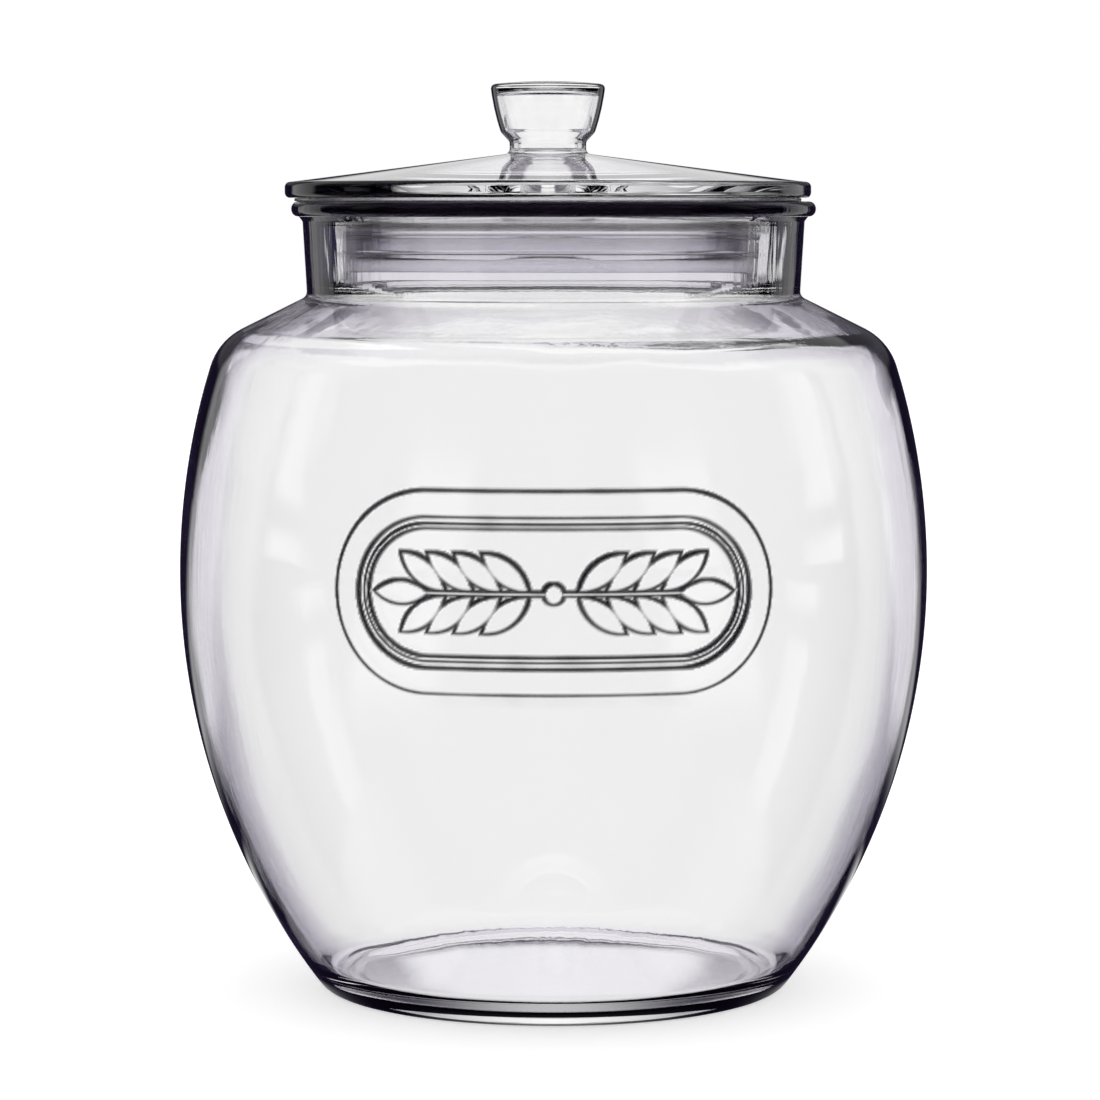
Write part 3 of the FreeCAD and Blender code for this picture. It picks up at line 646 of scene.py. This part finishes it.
def mark_knob(bm, s):
    """Mark the outside of the knob and of the slope, where a painted dark outline goes on their
    sides.
    """
    layer = bm.verts.layers.float.new("knob")
    foot = s.seat + s.edge + (s.radius - s.knob_neck) * math.tan(s.slope)
    neck_top = foot + s.knob_stem
    waist = neck_top + s.knob_step
    knob_edge = waist + s.knob_height
    cone = bm.verts.layers.float.new("cone")
    for vert in bm.verts:
        height = vert.co.z
        radius = math.hypot(vert.co.x - LID_AXIS, vert.co.y)
        if height < s.seat and radius > s.spigot_radius - MM:
            vert[layer] = 1.0
        if height < foot + s.knob_stem / 2:
            slope = s.seat + s.edge + (s.radius - radius) * math.tan(s.slope)
            if height > slope - MM and radius > s.knob_neck:
                vert[cone] = 1.0
            continue
        outside = s.knob_neck
        if height > waist:
            part = min((height - waist) / (knob_edge - waist), 1.0)
            outside = s.knob_waist + (s.knob_radius - s.knob_waist) * part
        elif height > neck_top:
            part = (height - neck_top) / s.knob_step
            outside = s.knob_neck + (s.knob_waist - s.knob_neck) * part
        if radius > outside - s.knob_wall / 2:
            vert[layer] = 1.0


def mark_outside(bm, shape):
    """Mark the outside of the jar, where a painted dark outline goes on its sides."""
    layer = bm.verts.layers.float.new("outside")
    for vert in bm.verts:
        if not shape.is_inside(math.hypot(vert.co.x, vert.co.y), vert.co.z):
            vert[layer] = 1.0


def knurl_ring(bm, s, cuts=5):
    """Divide the standing ring finely round its axis and press a fine knurl into it."""
    outer = s.base_radius - 1 * MM
    inner = outer - s.knurl_width

    def on_ring(point):
        return point.z < 0.3 * MM and inner < math.hypot(point.x, point.y) < outer

    ring = [face for face in bm.faces if on_ring(face.calc_center_median())]
    turned = []
    for edge in dict.fromkeys(edge for face in ring for edge in face.edges):
        first, second = [math.hypot(vert.co.x, vert.co.y) for vert in edge.verts]
        if abs(first - second) < 0.05 * MM:
            turned.append(edge)
    bmesh.ops.subdivide_edges(bm, edges=turned, cuts=cuts, use_grid_fill=True)
    turn = math.pi / (TURN_STEPS * (cuts + 1) / 2)
    for vert in bm.verts:
        if on_ring(vert.co):
            step = round(math.atan2(vert.co.y, vert.co.x) / turn)
            vert.co.z += s.knurl * (step % 2)


def age_inside(bm, shape):
    """Set the room inside a little off the axis and give it the slow waves of blown glass."""
    s = shape.s
    throat = shape.neck_foot - 12 * MM
    for vert in bm.verts:
        radius = math.hypot(vert.co.x, vert.co.y)
        if radius < 1 * MM or not shape.is_inside(radius, vert.co.z) or vert.co.z < s.floor_height:
            continue
        share = min(vert.co.z / shape.belly, 1.0) if vert.co.z < throat else 0.0
        wave = noise.noise(vert.co / SLOW_WAVE) * s.waviness
        wave += noise.noise(vert.co / FINE_WAVE) * s.waviness * FINE_SHARE
        if shape.belly + 25 * MM < vert.co.z < shape.neck_foot:
            wave *= s.shoulder_waves
        scale = 1 + wave / radius
        vert.co.x = vert.co.x * scale + s.wall_drift * share
        vert.co.y *= scale


# -------------------------------------------------------------- materials
def math_node(tree, kind, *values):
    node = tree.nodes.new("ShaderNodeMath")
    node.operation = kind
    for socket, value in zip(node.inputs, values):
        feed(tree, socket, value)
    return node.outputs[0]


def feed(tree, socket, value):
    """Link a socket to another, or set its plain value."""
    if isinstance(value, bpy.types.NodeSocket):
        tree.links.new(value, socket)
    else:
        socket.default_value = value


def mix_colour(tree, factor, first, second):
    node = tree.nodes.new("ShaderNodeMix")
    node.data_type = 'RGBA'
    for socket, value in zip((node.inputs[0], node.inputs[6], node.inputs[7]),
                             (factor, first, second)):
        feed(tree, socket, value)
    return node.outputs[2]


def mix_value(tree, factor, first, second):
    node = tree.nodes.new("ShaderNodeMix")
    for socket, value in zip(node.inputs[:4], (factor, None, first, second)):
        if value is not None:
            feed(tree, socket, value)
    return node.outputs[0]


def ramp(tree, value, start, end):
    """0 up to start, 1 from end on, smooth between them; start may be the higher."""
    node = tree.nodes.new("ShaderNodeMapRange")
    node.interpolation_type = 'SMOOTHSTEP'
    flip = start > end
    low, high = (end, start) if flip else (start, end)
    feed(tree, node.inputs["Value"], value)
    node.inputs["From Min"].default_value = low
    node.inputs["From Max"].default_value = high
    node.inputs["To Min"].default_value = 1.0 if flip else 0.0
    node.inputs["To Max"].default_value = 0.0 if flip else 1.0
    return node.outputs["Result"]


def opaque(rgb):
    return (*rgb, 1.0)


def new_material(name):
    material = bpy.data.materials.new(name)
    material.use_nodes = True
    return material, material.node_tree, material.node_tree.nodes["Principled BSDF"]


def shade(tree, looks, name, factor, dark):
    """Paint shade into the glass's colour and into what it reflects, where a vertex attribute says
    so.
    """
    tint, shine = looks
    mark = tree.nodes.new("ShaderNodeAttribute")
    mark.attribute_name = name
    part = math_node(tree, 'MULTIPLY', mark.outputs["Fac"], factor)
    return (mix_colour(tree, part, tint, opaque(dark)),
            mix_colour(tree, part, shine, opaque(dark)))


def grain(tree, place, width, upright):
    """Noise of about this width in the piece's own space, drawn out upwards."""
    drawn = tree.nodes.new("ShaderNodeMapping")
    drawn.inputs["Scale"].default_value = (1, 1, upright)
    tree.links.new(place.outputs["Object"], drawn.inputs["Vector"])
    node = tree.nodes.new("ShaderNodeTexNoise")
    node.inputs["Scale"].default_value = 1 / width
    node.inputs["Detail"].default_value = 3.0
    tree.links.new(drawn.outputs["Vector"], node.inputs["Vector"])
    return node.outputs["Fac"]


def core_part(tree, facing, uneven, depth, start, soft):
    """Part of a painted dark outline that starts at a facing, with an uneven border."""
    shift = math_node(tree, 'MULTIPLY', math_node(tree, 'SUBTRACT', uneven, 0.5), depth)
    return ramp(tree, math_node(tree, 'ADD', facing, shift), start, start + soft)


def glass(name, look, relief=False):
    """Clear pressed glass: a faint violet cast with a painted grey shade at low angles, and
    painted near-black outlines, rims, shoulder patches and relief lines where the marks say.
    """
    material, tree, shader = new_material(name)
    shader.inputs["Transmission Weight"].default_value = 1.0
    shader.inputs["Roughness"].default_value = 0.0
    shader.inputs["IOR"].default_value = look.ior
    weight = tree.nodes.new("ShaderNodeLayerWeight")
    weight.inputs["Blend"].default_value = 0.5
    facing = weight.outputs["Facing"]
    # Faint violet cast with a painted grey shade where the glass is seen at a low angle.
    edge = ramp(tree, facing, *EDGE_FACING)
    tint = mix_colour(tree, edge, opaque(look.face_tint), opaque(look.edge_cast_and_shade_tint))
    looks = tint, (1, 1, 1, 1)
    # Painted shade: the lid's edge painted near black.
    looks = shade(tree, looks, "rim", ramp(tree, facing, *RIM_FACING), look.rim_shade_tint)
    # Painted shade: dark outlines on the knob and on the lid's slope where they are seen at a low
    # angle.
    core = ramp(tree, facing, look.knob_core, look.knob_core + look.core_soft)
    looks = shade(tree, looks, "knob", core, look.outline_shade_tint)
    looks = shade(tree, looks, "cone", ramp(tree, facing, *CONE_FACING), look.outline_shade_tint)
    if relief:
        # Painted shade: the relief's slopes and the bead painted near black.
        looks = shade(tree, looks, "relief_and_bead_shade", 1.0, look.ridge_shade_tint)
        place = tree.nodes.new("ShaderNodeTexCoord")
        level = tree.nodes.new("ShaderNodeSeparateXYZ")
        tree.links.new(place.outputs["Object"], level.inputs[0])
        height = level.outputs["Z"]
        uneven = grain(tree, place, 10 * MM, 0.12)
        patch_shade_noise = grain(tree, place, 16 * MM, 0.8)
        streaks = grain(tree, place, look.streak_width, 0.1)
        # Painted shade: a dark outline on the side and streaked dark outlines on the neck.
        side = core_part(tree, facing, uneven, look.core_uneven, look.core, look.core_soft)
        side = math_node(tree, 'MULTIPLY', side, ramp(tree, height, *SIDE_FADE))
        neck_side = core_part(tree, facing, streaks, look.neck_uneven, look.neck_core,
                              look.core_soft)
        neck = ramp(tree, height, look.rough_neck - 2 * MM, look.rough_neck)
        neck_side = math_node(tree, 'MULTIPLY', neck_side, neck)
        looks = shade(tree, looks, "outside", math_node(tree, 'MAXIMUM', side, neck_side),
                      look.outline_shade_tint)
        # Painted shade: dark blotches on the shoulder where it is seen at a low angle.
        band = math_node(tree, 'MULTIPLY', ramp(tree, height, *PATCH_FOOT),
                         ramp(tree, height, *PATCH_TOP))
        patch = math_node(tree, 'MULTIPLY', ramp(tree, facing, *PATCH_FACING),
                          ramp(tree, patch_shade_noise, *PATCH_NOISE))
        looks = shade(tree, looks, "outside", math_node(tree, 'MULTIPLY', patch, band),
                      look.shoulder_shade_tint)
        bump = tree.nodes.new("ShaderNodeBump")
        bump.inputs["Distance"].default_value = look.streak
        wall = ramp(tree, height, look.calm_base, look.calm_base * 2)
        tree.links.new(math_node(tree, 'ADD', math_node(tree, 'MULTIPLY', wall, look.calm),
                                 math_node(tree, 'MULTIPLY', neck, 1 - look.calm)),
                       bump.inputs["Strength"])
        tree.links.new(streaks, bump.inputs["Height"])
        tree.links.new(bump.outputs["Normal"], shader.inputs["Normal"])
    tree.links.new(looks[0], shader.inputs["Base Color"])
    # Painted shade: the reflection is darkened wherever the marks paint the glass dark.
    tree.links.new(looks[1], shader.inputs["Specular Tint"])
    return material


def seal_plastic(look):
    """Soft translucent plastic with a faint grain."""
    material, tree, shader = new_material("seal_plastic")
    speckle = tree.nodes.new("ShaderNodeTexNoise")
    place = tree.nodes.new("ShaderNodeTexCoord")
    tree.links.new(place.outputs["Object"], speckle.inputs["Vector"])
    speckle.inputs["Scale"].default_value = 900.0
    tint = mix_colour(tree, speckle.outputs["Fac"], opaque(look.seal_colour),
                      opaque([part * 0.93 for part in look.seal_colour]))
    level = tree.nodes.new("ShaderNodeSeparateXYZ")
    tree.links.new(place.outputs["Object"], level.inputs[0])
    thin = ramp(tree, level.outputs["Z"], look.seal_clear - MM, look.seal_clear + MM)
    tint = mix_colour(tree, thin, tint, (1, 1, 1, 1))
    tree.links.new(tint, shader.inputs["Base Color"])
    shader.inputs["Roughness"].default_value = 0.25
    shader.inputs["Transmission Weight"].default_value = 1.0
    shader.inputs["IOR"].default_value = 1.2
    return material


def studio_glow(tree, look, direction, sky):
    """What the glass sees: white straight through, dark flags and bright windows by reflection."""
    path = tree.nodes.new("ShaderNodeLightPath")
    split = tree.nodes.new("ShaderNodeSeparateXYZ")
    tree.links.new(direction, split.inputs[0])
    azimuth = math_node(tree, 'ARCTAN2', split.outputs["X"], split.outputs["Y"])
    quarter = math.pi / 4
    off = math_node(tree, 'ABSOLUTE', math_node(tree, 'WRAP', azimuth, quarter, -quarter))
    bounces = path.outputs["Glossy Depth"]
    led = math_node(tree, 'GREATER_THAN', bounces, 1.5)
    bounced = math_node(tree, 'GREATER_THAN', bounces, 0.5)
    window = ramp(tree, off, look.window + look.softness, look.window - look.softness)
    wing = ramp(tree, off, look.wing - look.softness * 2, look.wing + look.softness * 2)
    led_light = math_node(tree, 'MAXIMUM', ramp(tree, off, look.led_spread, 0.0),
                          look.led_least)
    if sky:
        slit = ramp(tree, off, look.slit + look.softness, look.slit - look.softness)
        height = math_node(tree, 'ARCSINE', split.outputs["Z"])
        flat = ramp(tree, height, look.ledge + look.softness, look.ledge - look.softness)
        beside = ramp(tree, height, look.wing_top + look.softness, look.wing_top - look.softness)
        above = ramp(tree, height, look.skyline - look.softness, look.skyline + look.softness)
        high = ramp(tree, height, look.flag_top - look.softness, look.flag_top + look.softness)
        ahead = ramp(tree, off, look.gap + look.softness, look.gap - look.softness)
        top = ramp(tree, height, look.overhead - look.softness, look.overhead + look.softness)
        level = ramp(tree, math_node(tree, 'ABSOLUTE', height),
                     look.backdrop + look.softness, look.backdrop - look.softness)
        behind = ramp(tree, split.outputs["Y"], -0.4, 0.1)
        beyond = math_node(tree, 'MAXIMUM', math_node(tree, 'MULTIPLY', wing, look.roof),
                           look.flag)
        low_sky = math_node(tree, 'MAXIMUM', ahead, beyond)
        open_sky = mix_value(tree, high, low_sky, look.roof)
        once = math_node(tree, 'MAXIMUM', math_node(tree, 'MULTIPLY', slit, flat),
                         math_node(tree, 'MULTIPLY', above, open_sky))
        side_light = math_node(tree, 'MULTIPLY', beside, look.wing_light)
        once = math_node(tree, 'MAXIMUM', once, math_node(tree, 'MULTIPLY', wing, side_light))
        once = math_node(tree, 'MAXIMUM', once, top)
        once = math_node(tree, 'MULTIPLY', once, behind)
        straight = math_node(tree, 'MAXIMUM', window, level)
    else:
        away = tree.nodes.new("ShaderNodeVectorMath")
        away.operation = 'LENGTH'
        tree.links.new(direction, away.inputs[0])
        away = away.outputs["Value"]
        below = math_node(tree, 'MULTIPLY', ramp(tree, off, look.led_spread, 0.0),
                          look.under_light)
        behind = ramp(tree, math_node(tree, 'DIVIDE', split.outputs["Y"], away), 0.45, 0.7)
        ring = math_node(tree, 'MULTIPLY', behind, ramp(tree, away, look.near * 1.2, look.near))
        beyond = math_node(tree, 'MULTIPLY', ramp(tree, away, look.far - 0.1, look.far + 0.1),
                           math_node(tree, 'MULTIPLY', wing, look.wing_light))
        open_floor = math_node(tree, 'MAXIMUM', ring, beyond)
        once = mix_value(tree, ramp(tree, away, look.under - 2 * MM, look.under + 2 * MM),
                         below, open_floor)
        straight = 1.0
        led_light = 1.0
    seen = mix_value(tree, bounced, straight, once)
    seen = mix_value(tree, led, seen, led_light)
    return mix_colour(tree, seen, opaque(look.dark), opaque([look.through] * 3))


def floor_paint(look):
    """Pale floor that shows as white and keeps the jar's soft shadow."""
    material, tree, shader = new_material("floor_paint")
    shader.inputs["Base Color"].default_value = opaque(look.floor_colour)
    shader.inputs["Roughness"].default_value = 0.9
    shader.inputs["Specular IOR Level"].default_value = 0.0
    path = tree.nodes.new("ShaderNodeLightPath")
    shader.inputs["Emission Color"].default_value = (1, 1, 1, 1)
    tree.links.new(math_node(tree, 'MULTIPLY', path.outputs["Is Camera Ray"], look.floor_lift),
                   shader.inputs["Emission Strength"])
    place = tree.nodes.new("ShaderNodeTexCoord")
    glow = tree.nodes.new("ShaderNodeEmission")
    tree.links.new(studio_glow(tree, look, place.outputs["Object"], False), glow.inputs["Color"])
    seen = math_node(tree, 'MAXIMUM', path.outputs["Is Glossy Ray"],
                     path.outputs["Is Transmission Ray"])
    mix = tree.nodes.new("ShaderNodeMixShader")
    tree.links.new(seen, mix.inputs[0])
    tree.links.new(shader.outputs[0], mix.inputs[1])
    tree.links.new(glow.outputs[0], mix.inputs[2])
    tree.links.new(mix.outputs[0], tree.nodes["Material Output"].inputs["Surface"])
    return material


def studio(look):
    """White backdrop and plain light, with dark flags that only the glass sees."""
    world = bpy.data.worlds.new("studio")
    world.use_nodes = True
    tree = world.node_tree
    path = tree.nodes.new("ShaderNodeLightPath")
    place = tree.nodes.new("ShaderNodeTexCoord")
    glow = studio_glow(tree, look, place.outputs["Generated"], True)
    plain = mix_colour(tree, path.outputs["Is Diffuse Ray"], glow, opaque([look.ambient] * 3))
    final = mix_colour(tree, path.outputs["Is Camera Ray"], plain, (1, 1, 1, 1))
    tree.links.new(final, tree.nodes["Background"].inputs["Color"])
    return world


# ----------------------------------------------------------------- pieces
def finish_piece(bm, name, material):
    """Write the mesh to an object that stands at the origin."""
    for face in bm.faces:
        face.smooth = True
    mesh = bpy.data.meshes.new(name)
    bm.to_mesh(mesh)
    bm.free()
    piece = bpy.data.objects.new(name, mesh)
    piece.data.materials.append(material)
    bpy.context.scene.collection.objects.link(piece)
    return piece


class JAR_OT_body(bpy.types.Operator):
    """Model the jar with its raised label frame"""
    bl_idname = "jar.body"
    bl_label = "Jar"

    def execute(self, context):
        scene = context.scene
        shape = JarShape(scene.jar_sizes)
        bm = jar_outline(shape).turn()
        raise_relief(bm, shape, scene.relief_sizes)
        knurl_ring(bm, scene.jar_sizes)
        age_inside(bm, shape)
        mark_outside(bm, shape)
        sizes = scene.jar_sizes
        bead = sizes.rim_height - sizes.bead_height
        beyond = shape.neck + sizes.neck_flare + sizes.bead_reach - 1.2 * MM
        # Painted shade: the bead's outer side is marked to be painted near black.
        mark_rim(bm, "relief_and_bead_shade", bead - 0.3 * MM, sizes.rim_height, beyond)
        bmesh.ops.recalc_face_normals(bm, faces=bm.faces)
        piece = finish_piece(bm, "jar_glass", glass("clear_glass", scene.glass_look, True))
        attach(piece, "root")
        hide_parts("jar")
        return {'FINISHED'}


class JAR_OT_lid(bpy.types.Operator):
    """Model the push-in lid with its hollow knob"""
    bl_idname = "jar.lid"
    bl_label = "Lid"

    def execute(self, context):
        scene = context.scene
        sizes = scene.lid_sizes
        bm = lid_outline(sizes).turn()
        edge_top = sizes.seat + sizes.edge
        upright = sizes.radius - sizes.edge_round / 2
        # Painted shade: the lid's edge is marked to be painted near black.
        mark_rim(bm, "rim", sizes.seat - MM, edge_top + MM, upright)
        mark_knob(bm, sizes)
        piece = finish_piece(bm, "lid_glass", glass("lid_glass", scene.glass_look))
        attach(piece, "root")
        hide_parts("lid")
        return {'FINISHED'}


class JAR_OT_seal(bpy.types.Operator):
    """Model the ribbed seal"""
    bl_idname = "jar.seal"
    bl_label = "Seal"

    def execute(self, context):
        scene = context.scene
        bm = seal_outline(scene.seal_sizes).turn()
        piece = finish_piece(bm, "seal_ring", seal_plastic(scene.glass_look))
        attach(piece, "root")
        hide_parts("seal")
        return {'FINISHED'}


class JAR_OT_stage(bpy.types.Operator):
    """Set up the floor, the studio light and the camera"""
    bl_idname = "jar.stage"
    bl_label = "Stage"

    def execute(self, context):
        scene = context.scene
        look = scene.stage_look
        bm = bmesh.new()
        bmesh.ops.create_circle(bm, cap_ends=True, radius=look.floor_radius, segments=96)
        floor = finish_piece(bm, "floor", floor_paint(look))
        scene.world = studio(look)
        camera = bpy.data.objects.new("camera", bpy.data.cameras.new("camera"))
        camera.data.lens = look.lens
        camera.data.sensor_width = SENSOR
        camera.location = (look.camera_side, -look.camera_distance, look.camera_height)
        camera.rotation_euler = (math.pi / 2 - look.camera_tilt, 0, 0)
        scene.collection.objects.link(camera)
        scene.camera = camera
        scene.view_settings.view_transform = 'Standard'
        return {'FINISHED'}


class JAR_PT_panel(bpy.types.Panel):
    """Lists the pieces of the jar"""
    bl_idname = "JAR_PT_panel"
    bl_label = "Storage jar"
    bl_space_type = 'VIEW_3D'
    bl_region_type = 'UI'
    bl_category = "Jar"

    def draw(self, context):
        for operator in PIECES:
            self.layout.operator(operator.bl_idname)


PIECES = (JAR_OT_body, JAR_OT_lid, JAR_OT_seal, JAR_OT_stage)
SETTINGS = {
    "jar_sizes": JarSizes,
    "lid_sizes": LidSizes,
    "seal_sizes": SealSizes,
    "relief_sizes": ReliefSizes,
    "glass_look": GlassLook,
    "stage_look": StageLook,
}


def register():
    for item in (*SETTINGS.values(), *PIECES, JAR_PT_panel):
        bpy.utils.register_class(item)
    for name, group in SETTINGS.items():
        setattr(bpy.types.Scene, name, PointerProperty(type=group))


def unregister():
    for name in SETTINGS:
        delattr(bpy.types.Scene, name)
    for item in reversed((*SETTINGS.values(), *PIECES, JAR_PT_panel)):
        bpy.utils.unregister_class(item)


def plain(box):
    return [[float(value) for value in corner] for corner in box]


def main():
    register()
    bpy.ops.jar.body()
    bpy.ops.jar.lid()
    bpy.ops.jar.seal()
    bpy.ops.jar.stage()


if __name__ == "__main__":
    main()
